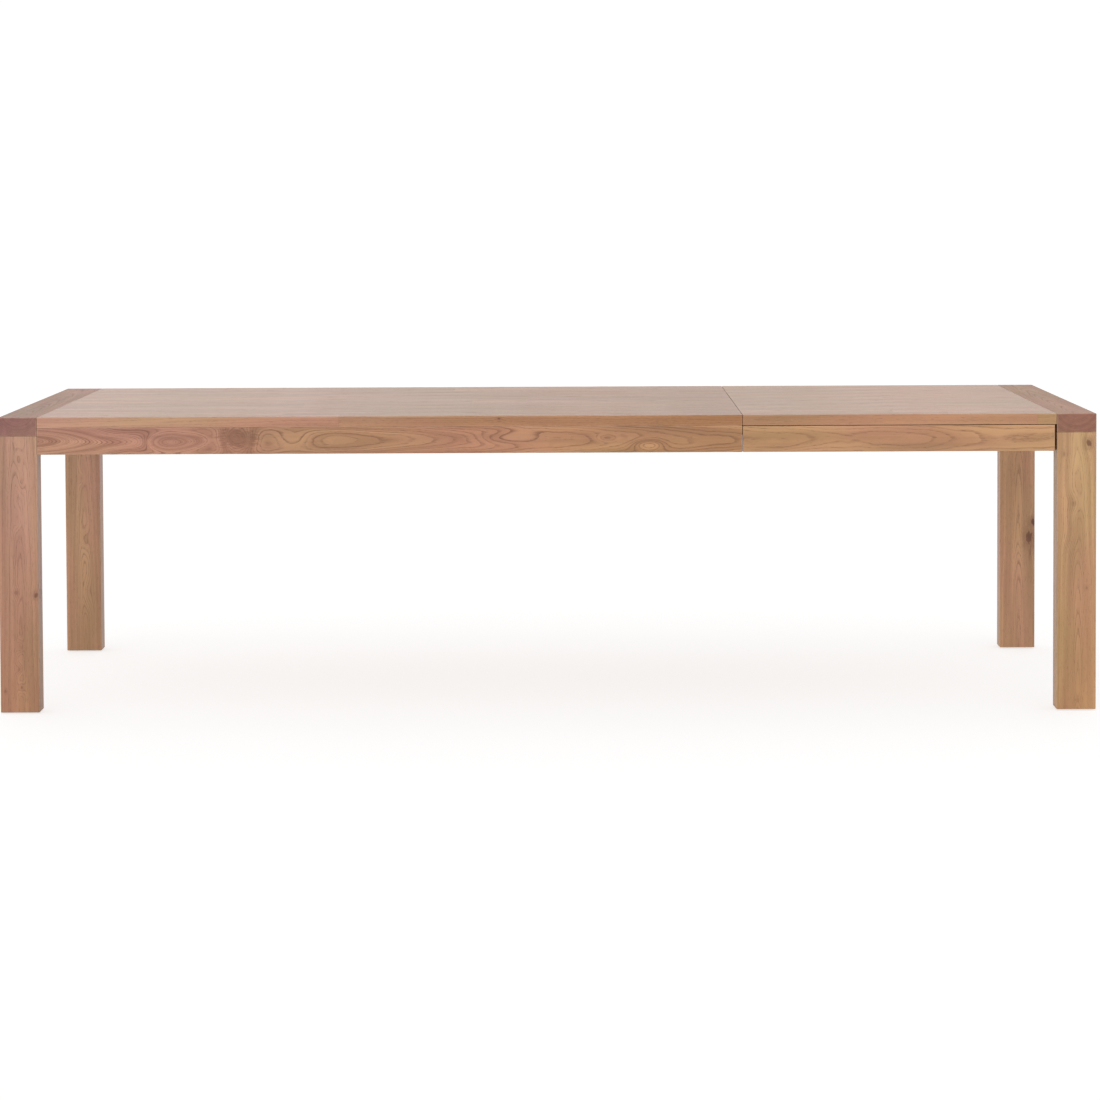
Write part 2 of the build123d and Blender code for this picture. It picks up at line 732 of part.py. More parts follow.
lock_plates = []
lock_pivots = []
lock_screws = []
lock_keepers = []
keeper_screws = []
for side_name, side in sides.items():
    save(lock_lever(side), f"{side_name}_lock_lever")
    with BuildPart() as lock_base:
        with BuildSketch(Plane.XY.offset(plate_under)):
            with Locations((lock_pivot_x, side * lock_y)):
                RectangleRounded(lock_plate_width, lock_plate_length, lock_corner)
                Circle(axle_radius, mode=Mode.SUBTRACT)
        extrude(amount=lock_plate)
        for offset in lock_screw_offsets:
            with Locations(Plane((lock_pivot_x, side * lock_y + offset, plate_under), z_dir=(0, 0, -1))):
                CounterSinkHole(screw_hole_radius, lock_sink_radius, lock_plate)
    lock_plates.append(lock_base.part)
    with BuildPart() as lock_pivot:
        with BuildSketch(Plane.XY.offset(slab_under)):
            with Locations((lock_pivot_x, side * lock_y)):
                Circle(axle_radius)
        extrude(amount=-(lock_plate + 2 * lever_play + lever_thickness))
        with BuildSketch(Plane.XY.offset(lever_under - lever_play)):
            with Locations((lock_pivot_x, side * lock_y)):
                Circle(pivot_head_radius)
        extrude(amount=-pivot_head_height)
    lock_pivots.append(lock_pivot.part)
    with BuildPart() as keeper:
        with BuildSketch(Plane.XY.offset(plate_under)):
            with Locations((stud_x, side * lock_y)):
                RectangleRounded(keeper_width, keeper_length, lock_corner)
        extrude(amount=lock_plate)
        with BuildSketch(Plane.XY.offset(plate_under)):
            with Locations((stud_x, side * lock_y)):
                Circle(stud_radius)
        extrude(amount=-stud_height)
        for offset in lock_screw_offsets:
            with Locations(Plane((stud_x, side * lock_y + offset, plate_under), z_dir=(0, 0, -1))):
                CounterSinkHole(screw_hole_radius, lock_sink_radius, lock_plate)
    lock_keepers.append(keeper.part)
    for offset in lock_screw_offsets:
        screw_y = side * lock_y + offset
        for x, screws in ((lock_pivot_x, lock_screws), (stud_x, keeper_screws)):
            screws.append(driven((x, screw_y, plate_under), (0, 0, -1), lock_screw_length))
save(Compound(lock_plates), "lock_plates")
save(Compound(lock_pivots), "lock_pivots")
save(Compound(lock_screws), "lock_screws")
save(Compound(lock_keepers), "lock_keepers")
save(Compound(keeper_screws), "keeper_screws")
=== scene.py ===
import math

import bpy
from mathutils import Euler, Matrix, Vector


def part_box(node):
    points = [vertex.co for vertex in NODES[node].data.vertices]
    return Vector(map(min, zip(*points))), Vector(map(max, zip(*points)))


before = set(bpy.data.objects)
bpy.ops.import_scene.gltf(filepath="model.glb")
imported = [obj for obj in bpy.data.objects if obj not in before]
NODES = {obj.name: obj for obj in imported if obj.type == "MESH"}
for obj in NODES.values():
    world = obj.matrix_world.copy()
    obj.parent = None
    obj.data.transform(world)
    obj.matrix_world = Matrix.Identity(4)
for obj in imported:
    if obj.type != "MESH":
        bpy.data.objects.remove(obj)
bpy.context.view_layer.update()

# ---- studio ----------------------------------------------------------------------------------------
# Angles in degrees, lens and sensor in millimetres, places in metres.
CAMERA_AT = (0.0657, -7.603, 1.3604)
CAMERA_YAW = 0.4377
CAMERA_PITCH = -2.2601
CAMERA_ROLL = -0.2675
CAMERA_LENS = 91.52
CAMERA_SENSOR = 36.0
CAMERA_SHIFT = -0.2363
CAMERA_REACH = 200.0

WALL_LIGHT = 1.02
CEILING_LIGHT = 0.62
WALL_TO_CEILING = (0.2, 0.75)
KEY_DIRECTION = (0.3, 1.0, -0.7)
KEY_STRENGTH = 1.05
KEY_SPREAD = 45.0
KEY_TINT = (1.0, 0.99, 0.98)

FLOOR_HALF = 150.0
FLOOR_GREY = (0.5, 0.5, 0.5, 1.0)
FLOOR_ROUGHNESS = 0.9
FLOOR_GLOW_SEEN = 0.68
FLOOR_GLOW_CAST = 0.45
WHITE = (1.0, 1.0, 1.0, 1.0)


def make_camera():
    data = bpy.data.cameras.new("photo_camera")
    data.sensor_width = CAMERA_SENSOR
    data.lens = CAMERA_LENS
    data.shift_y = CAMERA_SHIFT
    data.clip_end = CAMERA_REACH
    camera = bpy.data.objects.new("photo_camera", data)
    bpy.context.scene.collection.objects.link(camera)
    # A camera looks down its own -Z, so it is first stood up to look along +Y.
    upright = Euler((math.radians(90.0 + CAMERA_PITCH), 0.0, 0.0)).to_matrix()
    roll = Matrix.Rotation(math.radians(CAMERA_ROLL), 3, "Z")
    yaw = Matrix.Rotation(math.radians(CAMERA_YAW), 3, "Z")
    camera.matrix_world = Matrix.Translation(CAMERA_AT) @ (yaw @ upright @ roll).to_4x4()
    bpy.context.scene.camera = camera


def make_key_light(floor):
    data = bpy.data.lights.new("key_light", "SUN")
    data.energy = KEY_STRENGTH
    data.angle = math.radians(KEY_SPREAD)
    data.color = KEY_TINT
    sun = bpy.data.objects.new("key_light", data)
    bpy.context.scene.collection.objects.link(sun)
    sun.rotation_euler = Vector(KEY_DIRECTION).to_track_quat("-Z", "Y").to_euler()
    # The floor is lit by the walls alone, so the shadow stays soft and between the legs.
    receivers = bpy.data.collections.new("key_light_receivers")
    receivers.objects.link(floor)
    receivers.collection_objects[0].light_linking.link_state = "EXCLUDE"
    sun.light_linking.receiver_collection = receivers


def make_world():
    """White walls all round under a darker ceiling."""
    world = bpy.data.worlds.new("studio")
    world.use_nodes = True
    bpy.context.scene.world = world
    g = Graph(world.node_tree)
    up = g.separate(g.node("ShaderNodeTexCoord", output="Generated"))["Z"]
    background = world.node_tree.nodes["Background"]
    background.inputs["Color"].default_value = WHITE
    g.feed(background.inputs["Strength"], g.smooth(up, *WALL_TO_CEILING, WALL_LIGHT, CEILING_LIGHT))


def make_floor():
    """A pale floor that glows a little, so that the shadow under the object stays faint."""
    mesh = bpy.data.meshes.new("studio_floor")
    corners = [(x * FLOOR_HALF, y * FLOOR_HALF, 0.0) for x, y in ((-1, -1), (1, -1), (1, 1), (-1, 1))]
    mesh.from_pydata(corners, [], [(0, 1, 2, 3)])
    floor = bpy.data.objects.new("studio_floor", mesh)
    bpy.context.scene.collection.objects.link(floor)
    material = bpy.data.materials.new("studio_floor")
    material.use_nodes = True
    shader = material.node_tree.nodes["Principled BSDF"]
    shader.inputs["Base Color"].default_value = FLOOR_GREY
    shader.inputs["Roughness"].default_value = FLOOR_ROUGHNESS
    shader.inputs["Specular IOR Level"].default_value = 0.0
    shader.inputs["Emission Color"].default_value = WHITE
    g = Graph(material.node_tree)
    seen = g.node("ShaderNodeLightPath", output="Is Camera Ray")
    glow = g.math("MULTIPLY_ADD", seen, FLOOR_GLOW_SEEN - FLOOR_GLOW_CAST, FLOOR_GLOW_CAST)
    g.feed(shader.inputs["Emission Strength"], glow)
    mesh.materials.append(material)
    return floor


def make_studio():
    view = bpy.context.scene.view_settings
    view.view_transform = "Standard"
    view.look = "None"
    make_world()
    make_key_light(make_floor())


# ---- node graphs -----------------------------------------------------------------------------------
# The Mix node has a set of sockets for each type of data. These are the ones for colours.
MIX_FACTOR = 0
MIX_A = 6
MIX_B = 7
MIX_RESULT = 2


class Graph:
    """A short way to write a node tree: each call adds one node and returns its output."""

    def __init__(self, tree):
        self.tree = tree

    def node(self, kind, inputs=(), output=0, **settings):
        made = self.tree.nodes.new(kind)
        for name, value in settings.items():
            setattr(made, name, value)
        for key, value in dict(inputs).items():
            self.feed(made.inputs[key], value)
        return made.outputs[output]

    def feed(self, socket, value):
        if isinstance(value, bpy.types.NodeSocket):
            self.tree.links.new(value, socket)
        elif value is not None:
            socket.default_value = value

    def math(self, operation, a, b=None, c=None, clamp=False):
        pairs = {0: a, 1: b, 2: c}
        return self.node("ShaderNodeMath", pairs, operation=operation, use_clamp=clamp)

    def add(self, *terms):
        total = terms[0]
        for term in terms[1:]:
            total = self.math("ADD", total, term)
        return total

    def times(self, a, b):
        return self.math("MULTIPLY", a, b)

    def minus(self, a, b):
        return self.math("SUBTRACT", a, b)

    def vector(self, operation, a, b=None):
        output = "Value" if operation in ("LENGTH", "DOT_PRODUCT") else "Vector"
        return self.node("ShaderNodeVectorMath", {0: a, 1: b}, output, operation=operation)

    def combine(self, x, y, z):
        return self.node("ShaderNodeCombineXYZ", {"X": x, "Y": y, "Z": z})

    def separate(self, vector):
        made = self.tree.nodes.new("ShaderNodeSeparateXYZ")
        self.feed(made.inputs[0], vector)
        return made.outputs

    def smooth(self, value, low, high, at_low=0.0, at_high=1.0):
        """Goes from at_low to at_high as value goes from low to high, with soft ends."""
        inputs = {
            "Value": value,
            "From Min": low,
            "From Max": high,
            "To Min": at_low,
            "To Max": at_high,
        }
        return self.node("ShaderNodeMapRange", inputs, interpolation_type="SMOOTHSTEP")

    def noise(self, vector, detail=2.0):
        """Noise from about 0 to 1, one wave to each unit of the vector."""
        return self.node("ShaderNodeTexNoise", {"Vector": vector, "Scale": 1.0, "Detail": detail})

    def swing(self, vector, amount, detail=2.0):
        """Noise about zero, from about -amount to amount."""
        level = self.minus(self.noise(vector, detail), 0.5)
        return self.times(level, self.times(amount, 2.0))

    def random(self, number):
        """A level from 0 to 1 that is always the same for the same number."""
        kind = "ShaderNodeTexWhiteNoise"
        return self.node(kind, {"W": number}, "Value", noise_dimensions="1D")

    def mix(self, factor, a, b, blend="MIX"):
        made = self.tree.nodes.new("ShaderNodeMix")
        made.data_type = "RGBA"
        made.blend_type = blend
        self.feed(made.inputs[MIX_FACTOR], factor)
        self.feed(made.inputs[MIX_A], a)
        self.feed(made.inputs[MIX_B], b)
        return made.outputs[MIX_RESULT]

    def shade(self, paint, level):
        """paint made lighter or darker by a number."""
        return self.mix(1.0, paint, self.combine(level, level, level), "MULTIPLY")

    def bump(self, height):
        """The surface normal for a height in metres."""
        inputs = {"Height": height, "Distance": 1.0, "Strength": 1.0}
        return self.node("ShaderNodeBump", inputs)


def new_group(name, inputs, outputs):
    """A node group, its graph, and its inputs as a dictionary. inputs gives name: (type, value)."""
    tree = bpy.data.node_groups.new(name, "ShaderNodeTree")
    kinds = {"float": "NodeSocketFloat", "vector": "NodeSocketVector", "colour": "NodeSocketColor"}
    for key, (kind, value) in inputs.items():
        socket = tree.interface.new_socket(key, in_out="INPUT", socket_type=kinds[kind])
        socket.default_value = value
    for key, kind in outputs.items():
        tree.interface.new_socket(key, in_out="OUTPUT", socket_type=kinds[kind])
    start = tree.nodes.new("NodeGroupInput")
    return tree, Graph(tree), {key: start.outputs[key] for key in inputs}


def close_group(tree, graph, results):
    end = tree.nodes.new("NodeGroupOutput")
    for key, value in results.items():
        graph.feed(end.inputs[key], value)
    return tree


def use_group(graph, tree, inputs):
    made = graph.tree.nodes.new("ShaderNodeGroup")
    made.node_tree = tree
    for key, value in inputs.items():
        graph.feed(made.inputs[key], value)
    return made.outputs


# ---- oak -------------------------------------------------------------------------------------------
# Patterns in waves to the metre, across and along the grain.
SLOW_WAVES = (7.0, 4.2)
MIDDLE_WAVES = (36.0, 14.0)
FINE_WAVES = (210.0, 26.0)
PATCH_WAVES = (24.0, 5.0)
PORE_WAVES = (1050.0, 62.0)
BLOTCH_WAVES = (11.0, 2.4)
STREAK_WAVES = (85.0, 1.8)
HUE_WAVES = (9.0, 2.1)
WEAR_WAVES = (60.0, 14.0)
GLOSS_WAVES = (30.0, 7.0)
FUZZ_WAVES = (420.0, 50.0)
KNOT_WAVES = (210.0, 75.0)
TONE_WAVES = (9.0, 1.2)
# Bands follow the rings: waves to the metre of radius and along the grain.
BAND_WAVES = (120.0, 1.6)
# Ray flecks: waves to the radian round the pith, the metre of radius and the metre along the grain.
RAY_WAVES = (160.0, 45.0, 70.0)

# How noise becomes a level: from this value, to that value, and the levels there.
FALL_RAMP = (0.0, 0.45, 1.0, 0.0)
RISE_RAMP = (0.90, 1.0)
YEAR_RAMP = (0.0, 1.0, 0.35, 1.0)
PATCH_RAMP = (0.30, 0.62, 0.35, 1.0)
PORE_LIMIT_RAMP = (0.0, 1.0, 0.70, 0.56)
PORE_RAMP = (0.0, 0.06)
FLECK_RAMP = (0.66, 0.74)
BLOTCH_RAMP = (0.25, 0.75, 0.86, 1.12)
STREAK_RAMP = (0.30, 0.72, 0.93, 1.05)
HUE_RAMP = (0.32, 0.68)
BAND_RAMP = (0.30, 0.70)
WEAR_RAMP = (0.35, 0.65, 0.02, 0.26)
END_RAMP = (0.75, 0.97)
CORE_RAMP = (0.30, 0.62, 1.0, 0.0)
HALO_RAMP = (0.5, 1.5, 0.35, 0.0)
ARRIS_RAMP = (0.0008, 0.0032, 1.0, 0.0)
GLUE_RAMP = (0.0001, 0.0007, 1.0, 0.0)

# Linear colours, and how much of each is mixed in where its pattern is full.
PORE_COLOUR = (0.115, 0.055, 0.028, 1.0)
PORE_SHARE = 0.45
FLECK_COLOUR = (0.56, 0.36, 0.22, 1.0)
FLECK_SHARE = 0.16
# The knots' colour, also used for the painted shade along the top's front edge.
KNOT_AND_EDGE_SHADE_COLOUR = (0.125, 0.038, 0.019, 1.0)
WORN_COLOUR = (0.60, 0.42, 0.29, 1.0)
GLUE_COLOUR = (0.16, 0.085, 0.05, 1.0)
GLUE_SHARE = 0.35
# Colours that the wood is multiplied by.
END_TINT = (0.63, 0.56, 0.70, 1.0)
END_SHARE = 0.9
PINK_TINT = (1.04, 0.96, 0.99, 1.0)
GOLD_TINT = (0.98, 1.03, 0.88, 1.0)
DARK_BAND_TINT = (0.80, 0.74, 0.70, 1.0)
LIGHT_BAND_TINT = (1.12, 1.13, 1.13, 1.0)

# Parts of the roughness.
LINE_MATT = 0.10
PORE_MATT = 0.16
GLOSS_SWING = 0.06
END_MATT = 0.18
WEAR_GLOSS = 0.12

# Relief in metres, and how much of it the varnish leaves.
PORE_DEPTH = 0.00014
EARLY_DEPTH = 0.00005
KNOT_DEPTH = 0.00012
FUZZ_HEIGHT = 0.000018
RELIEF = 0.7

# How far the rings wander: middle as a share of the Wave input, fine in metres.
MIDDLE_SHARE = 0.36
FINE_SWING = 0.00035
# How uneven the years are, in rings, with this many waves to the metre of radius.
RING_SWING = 0.9
RING_SWING_WAVES = 75.0
# A year's tone changes this share of a ring before its line is darkest.
YEAR_OFFSET = 0.05
# How ragged a knot is as a share of its radius, and a change of tone as a share of half the board.
KNOT_RAGGED = 0.42
TONE_RAGGED = 0.7

# Offsets that give each board, and each pattern, its own part of the noise.
SEED_SHIFT = (3.17, 5.71, 7.93)
HUE_SHIFT = (9.0, 4.0, 2.0)
TONE_SHIFT = (7.3, 1.9, 4.1)
STAVE_STEP = 2.7

# Where staves lie in their logs, in metres, and how their tone spreads.
STAVE_PITH_ACROSS = 0.10
STAVE_PITH_DEPTH = (0.03, 0.09)
STAVE_DRIFT = 0.06
STAVE_TONE = (0.93, 0.14)

WOOD_SPECULAR = 0.42
VARNISH = 0.14
VARNISH_ROUGHNESS = 0.32
# How the wood's own colours follow from the colour it should have in this light.
WOOD_GAIN = 0.915
LIGHT_GAIN = 1.16
DARK_GAIN = Vector((0.61, 0.53, 0.49))


def stretch(g, place, waves):
    across, along = waves
    return g.vector("MULTIPLY", place, (across, across, along))


def from_pith(g, i, part, side):
    """The distance from the pith line on one side, across or depth."""
    offset = g.minus(part, i[f"Pith {side}"])
    along = g.separate(i["Board"])["Z"]
    return g.minus(offset, g.times(i[f"Drift {side}"], along))


def ring_pattern(g, i, place):
    """Wavy distance from the pith and the ray flecks there. A ring is one step of that distance."""
    across, depth, along = g.separate(i["Board"])[:3]
    x, y = from_pith(g, i, across, "across"), from_pith(g, i, depth, "depth")
    radius = g.vector("LENGTH", g.combine(x, y, 0.0))
    slow = g.swing(stretch(g, place, SLOW_WAVES), i["Wave"], detail=1.0)
    middle = g.swing(stretch(g, place, MIDDLE_WAVES), g.times(i["Wave"], MIDDLE_SHARE))
    fine = g.swing(stretch(g, place, FINE_WAVES), FINE_SWING)
    warped = g.add(g.add(g.add(radius, slow), g.add(middle, fine)), i["Bulge"])
    round_pith, outward, lengthwise = RAY_WAVES
    ray_place = g.combine(g.times(g.math("ARCTAN2", y, x), round_pith), g.times(warped, outward),
                          g.times(g.add(along, i["Seed"]), lengthwise))
    return warped, g.smooth(g.noise(ray_place, detail=1.0), *FLECK_RAMP)


def year_lines(g, i, place, warped):
    """Early wood and the dark line in it, both 0 to 1."""
    swing_place = g.combine(g.times(warped, RING_SWING_WAVES), i["Seed"], 0.0)
    count = g.add(g.math("DIVIDE", warped, i["Ring"]), g.swing(swing_place, RING_SWING))
    phase = g.math("FRACT", count)
    early = g.math("MAXIMUM", g.smooth(phase, *FALL_RAMP), g.smooth(phase, *RISE_RAMP))
    year = g.random(g.math("FLOOR", g.add(count, YEAR_OFFSET)))
    patchy = g.smooth(g.noise(stretch(g, place, PATCH_WAVES)), *PATCH_RAMP)
    line = g.times(g.times(early, g.smooth(year, *YEAR_RAMP)), patchy)
    return early, line


def ground_colour(g, i, place, warped, line):
    """Wood without pores: the lines on a ground that drifts in tone, hue and bands."""
    paint = g.mix(g.times(line, i["Contrast"]), i["Light"], i["Dark"])
    blotch = g.smooth(g.noise(stretch(g, place, BLOTCH_WAVES), detail=3.0), *BLOTCH_RAMP)
    paint = g.shade(paint, blotch)
    paint = g.shade(paint, g.smooth(g.noise(stretch(g, place, STREAK_WAVES)), *STREAK_RAMP))
    hue_place = g.vector("ADD", stretch(g, place, HUE_WAVES), HUE_SHIFT)
    hue = g.mix(g.smooth(g.noise(hue_place), *HUE_RAMP), PINK_TINT, GOLD_TINT)
    paint = g.mix(1.0, paint, hue, "MULTIPLY")
    outward, lengthwise = BAND_WAVES
    along = g.separate(i["Board"])["Z"]
    band_place = g.combine(g.times(warped, outward), g.times(along, lengthwise), i["Seed"])
    band = g.smooth(g.noise(band_place, detail=1.0), *BAND_RAMP)
    banded = g.mix(1.0, paint, g.mix(band, DARK_BAND_TINT, LIGHT_BAND_TINT), "MULTIPLY")
    return g.mix(i["Contrast"], paint, banded)


def make_oak_group():
    """Oak cut from a log. Board is (across, depth, along the grain) in metres from the board's middle.

    The pith is a line that runs along the board at an offset and drifts across it. Growth rings are
    tubes about it, so a face gets arches and its end gets the rings themselves.
    """
    inputs = {
        "Board": ("vector", (0.0, 0.0, 0.0)),
        "Pith across": ("float", 0.0),
        "Pith depth": ("float", 0.06),
        "Drift across": ("float", 0.0),
        "Drift depth": ("float", 0.03),
        "Ring": ("float", 0.0034),
        "Wave": ("float", 0.004),
        "Seed": ("float", 0.0),
        "Bulge": ("float", 0.0),
        "Knot": ("float", 0.0),
        "Light": ("colour", (0.40, 0.22, 0.12, 1.0)),
        "Dark": ("colour", (0.24, 0.11, 0.05, 1.0)),
        "Contrast": ("float", 0.6),
        "Matt": ("float", 0.40),
        "End": ("float", 0.0),
        "Arris": ("float", 0.0),
    }
    outputs = {"Color": "colour", "Roughness": "float", "Height": "float"}
    tree, g, i = new_group("oak", inputs, outputs)
    shift = g.vector("MULTIPLY", g.combine(i["Seed"], i["Seed"], i["Seed"]), SEED_SHIFT)
    place = g.vector("ADD", i["Board"], shift)

    warped, flecks = ring_pattern(g, i, place)
    early, line = year_lines(g, i, place, warped)
    pore_noise = g.noise(stretch(g, place, PORE_WAVES), detail=1.0)
    pores = g.smooth(g.minus(pore_noise, g.smooth(early, *PORE_LIMIT_RAMP)), *PORE_RAMP)
    wear = g.smooth(g.noise(stretch(g, place, WEAR_WAVES)), *WEAR_RAMP)
    worn = g.times(i["Arris"], wear)

    paint = ground_colour(g, i, place, warped, line)
    paint = g.mix(g.times(pores, PORE_SHARE), paint, PORE_COLOUR)
    paint = g.mix(g.times(flecks, FLECK_SHARE), paint, FLECK_COLOUR)
    # The knot mask also carries the painted shade along the top's front edge, in the same dark colour.
    paint = g.mix(i["Knot"], paint, KNOT_AND_EDGE_SHADE_COLOUR)
    paint = g.mix(g.times(i["End"], END_SHARE), paint, END_TINT, "MULTIPLY")
    paint = g.mix(worn, paint, WORN_COLOUR)

    gloss = g.swing(stretch(g, place, GLOSS_WAVES), GLOSS_SWING)
    rough = g.add(i["Matt"], g.times(line, LINE_MATT), g.times(pores, PORE_MATT), gloss,
                  g.times(i["End"], END_MATT))
    rough = g.math("SUBTRACT", rough, g.times(worn, WEAR_GLOSS), clamp=True)

    fuzz = g.swing(stretch(g, place, FUZZ_WAVES), FUZZ_HEIGHT)
    height = g.add(g.times(pores, -PORE_DEPTH), g.times(early, -EARLY_DEPTH),
                   g.times(i["Knot"], -KNOT_DEPTH), fuzz)
    return close_group(tree, g, {"Color": paint, "Roughness": rough, "Height": height})


def make_figure_group():
    """A place where the grain swirls: rings bulge round it, and a knot has a dark core and halo.
    Stretched long and with no rise, the dark core and halo are painted shade instead, as along the
    top's front edge.
    """
    inputs = {
        "Board": ("vector", (0.0, 0.0, 0.0)),
        "Middle": ("vector", (0.0, 0.0, 0.0)),
        "Radius": ("float", 0.02),
        "Stretch": ("float", 2.0),
        "Rise": ("float", 0.008),
        "Core": ("float", 0.0),
        "Deep": ("float", 0.0),
    }
    tree, g, i = new_group("figure", inputs, {"Bulge": "float", "Knot": "float"})
    across, depth, along = g.separate(g.vector("SUBTRACT", i["Board"], i["Middle"]))[:3]
    flat = g.combine(across, g.times(depth, i["Deep"]), g.math("DIVIDE", along, i["Stretch"]))
    away = g.math("DIVIDE", g.vector("LENGTH", flat), i["Radius"])
    bell = g.math("EXPONENT", g.times(g.times(away, away), -0.5))
    edge = g.add(away, g.swing(stretch(g, i["Board"], KNOT_WAVES), KNOT_RAGGED))
    dark = g.math("MAXIMUM", g.smooth(edge, *CORE_RAMP), g.smooth(edge, *HALO_RAMP))
    return close_group(tree, g, {"Bulge": g.times(bell, i["Rise"]), "Knot": g.times(dark, i["Core"])})


def make_arris_group():
    """1 on a board's edges and 0 away from them. Board is from its middle, Half is half its size.

    On a board's surface the smallest distance to a side is 0, so the second smallest is the
    distance to the nearest edge.
    """
    inputs = {"Board": ("vector", (0.0, 0.0, 0.0)), "Half": ("vector", (1.0, 1.0, 1.0))}
    tree, g, i = new_group("arris", inputs, {"Arris": "float"})
    a, b, c = g.separate(g.vector("SUBTRACT", i["Half"], g.vector("ABSOLUTE", i["Board"])))[:3]
    larger = g.math("MINIMUM", g.math("MAXIMUM", a, b), c)
    second = g.math("MAXIMUM", g.math("MINIMUM", a, b), larger)
    return close_group(tree, g, {"Arris": g.smooth(second, *ARRIS_RAMP)})


def make_stave_group():
    """Cuts a wide top into glued staves: each has its own place in a log, tone and thin glue line."""
    inputs = {
        "Board": ("vector", (0.0, 0.0, 0.0)),
        "Width": ("float", 0.1),
        "Length": ("float", 1.3),
        "Seed": ("float", 0.0),
    }
    outputs = {"Board": "vector", "Random": "vector", "Tone": "float", "Glue": "float"}
    tree, g, i = new_group("staves", inputs, outputs)
    across, depth, along = g.separate(i["Board"])[:3]
    rows = g.math("DIVIDE", across, i["Width"])
    row = g.math("FLOOR", rows)
    jump = g.random(g.add(row, i["Seed"]))
    columns = g.add(g.math("DIVIDE", along, i["Length"]), jump)
    column = g.math("FLOOR", columns)
    key = g.combine(row, column, i["Seed"])
    random_colour = g.node("ShaderNodeTexWhiteNoise", {"Vector": key}, "Color")
    tone_key = g.vector("ADD", key, TONE_SHIFT)
    tone = g.node("ShaderNodeTexWhiteNoise", {"Vector": tone_key}, "Value")
    in_row = g.minus(g.math("FRACT", rows), 0.5)
    in_column = g.minus(g.math("FRACT", columns), 0.5)
    local = g.combine(g.times(in_row, i["Width"]), depth, g.add(along, g.times(column, STAVE_STEP)))
    to_side = g.times(g.minus(0.5, g.math("ABSOLUTE", in_row)), i["Width"])
    to_end = g.times(g.minus(0.5, g.math("ABSOLUTE", in_column)), i["Length"])
    glue = g.smooth(g.math("MINIMUM", to_side, to_end), *GLUE_RAMP)
    return close_group(tree, g, {"Board": local, "Random": random_colour, "Tone": tone, "Glue": glue})


OAK = make_oak_group()
FIGURE = make_figure_group()
ARRIS = make_arris_group()
STAVES = make_stave_group()

# Which row axes are (across, depth, along the grain) on a board.
UPRIGHT = "XYZ"
FACING_FRONT = "ZYX"
FLAT = "YZX"
FLAT_ACROSS = "XZY"
FACING_END = "ZXY"


def colour(red, green, blue):
    """A linear colour from 8-bit sRGB numbers."""
    def linear(value):
        value /= 255.0
        return value / 12.92 if value <= 0.04045 else ((value + 0.055) / 1.055) ** 2.4

    return (linear(red), linear(green), linear(blue), 1.0)


def tones(red, green, blue):
    """Light and dark wood whose mean, lit by this studio, comes out near the given 8-bit colour."""
    seen = Vector(colour(red, green, blue)[:3]) * WOOD_GAIN
    return {"Light": (*seen * LIGHT_GAIN, 1.0), "Dark": (*seen * DARK_GAIN, 1.0)}


def board_place(g, node, axes):
    """Coordinates from the middle of the node's box, half its size, and the share of end grain."""
    low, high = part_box(node)
    middle, half = (low + high) / 2, (high - low) / 2
    order = ["XYZ".index(axis) for axis in axes]
    place = g.node("ShaderNodeTexCoord", output="Object")
    row = g.separate(g.vector("SUBTRACT", place, tuple(middle)))
    board = g.combine(*(row[k] for k in order))
    grain = tuple(1.0 if axis == axes[2] else 0.0 for axis in "XYZ")
    normal = g.node("ShaderNodeTexCoord", output="Normal")
    facing = g.math("ABSOLUTE", g.vector("DOT_PRODUCT", normal, grain))
    return board, tuple(half[k] for k in order), g.smooth(facing, *END_RAMP)


def board_tones(g, board, half_length, tone, far_tone):
    """Light and dark wood that go from tone to far_tone along the board, with a ragged change."""
    near, far = tones(*tone), tones(*far_tone)
    ragged = g.swing(stretch(g, board, TONE_WAVES), TONE_RAGGED * half_length)
    share = g.smooth(g.add(g.separate(board)["Z"], ragged), -half_length, half_length)
    return {key: g.mix(share, near[key], far[key]) for key in ("Light", "Dark")}


def stave_inputs(g, cut):
    """Inputs for the oak group that cut each stave from its own place in a log."""
    red, green, blue = g.separate(cut["Random"])[:3]
    nearest, spread = STAVE_PITH_DEPTH
    return {
        "Board": cut["Board"],
        "Pith across": g.times(g.minus(red, 0.5), STAVE_PITH_ACROSS),
        "Pith depth": g.add(nearest, g.times(green, spread)),
        "Drift depth": g.times(g.minus(blue, 0.5), STAVE_DRIFT),
    }


def stave_paint(g, cut, paint):
    """The wood's colour with each stave's own tone and the thin glue lines."""
    darkest, spread = STAVE_TONE
    paint = g.shade(paint, g.add(darkest, g.times(cut["Tone"], spread)))
    return g.mix(g.times(cut["Glue"], GLUE_SHARE), paint, GLUE_COLOUR)


def figure_inputs(g, board, figures):
    """How far the rings bulge and how dark the knots are, over all figures of a board."""
    bulge, knot = 0.0, 0.0
    for figure_input in figures:
        made = use_group(g, FIGURE, {"Board": board, **figure_input})
        bulge = g.add(made["Bulge"], bulge)
        knot = g.math("MAXIMUM", made["Knot"], knot)
    return {"Bulge": bulge, "Knot": knot}


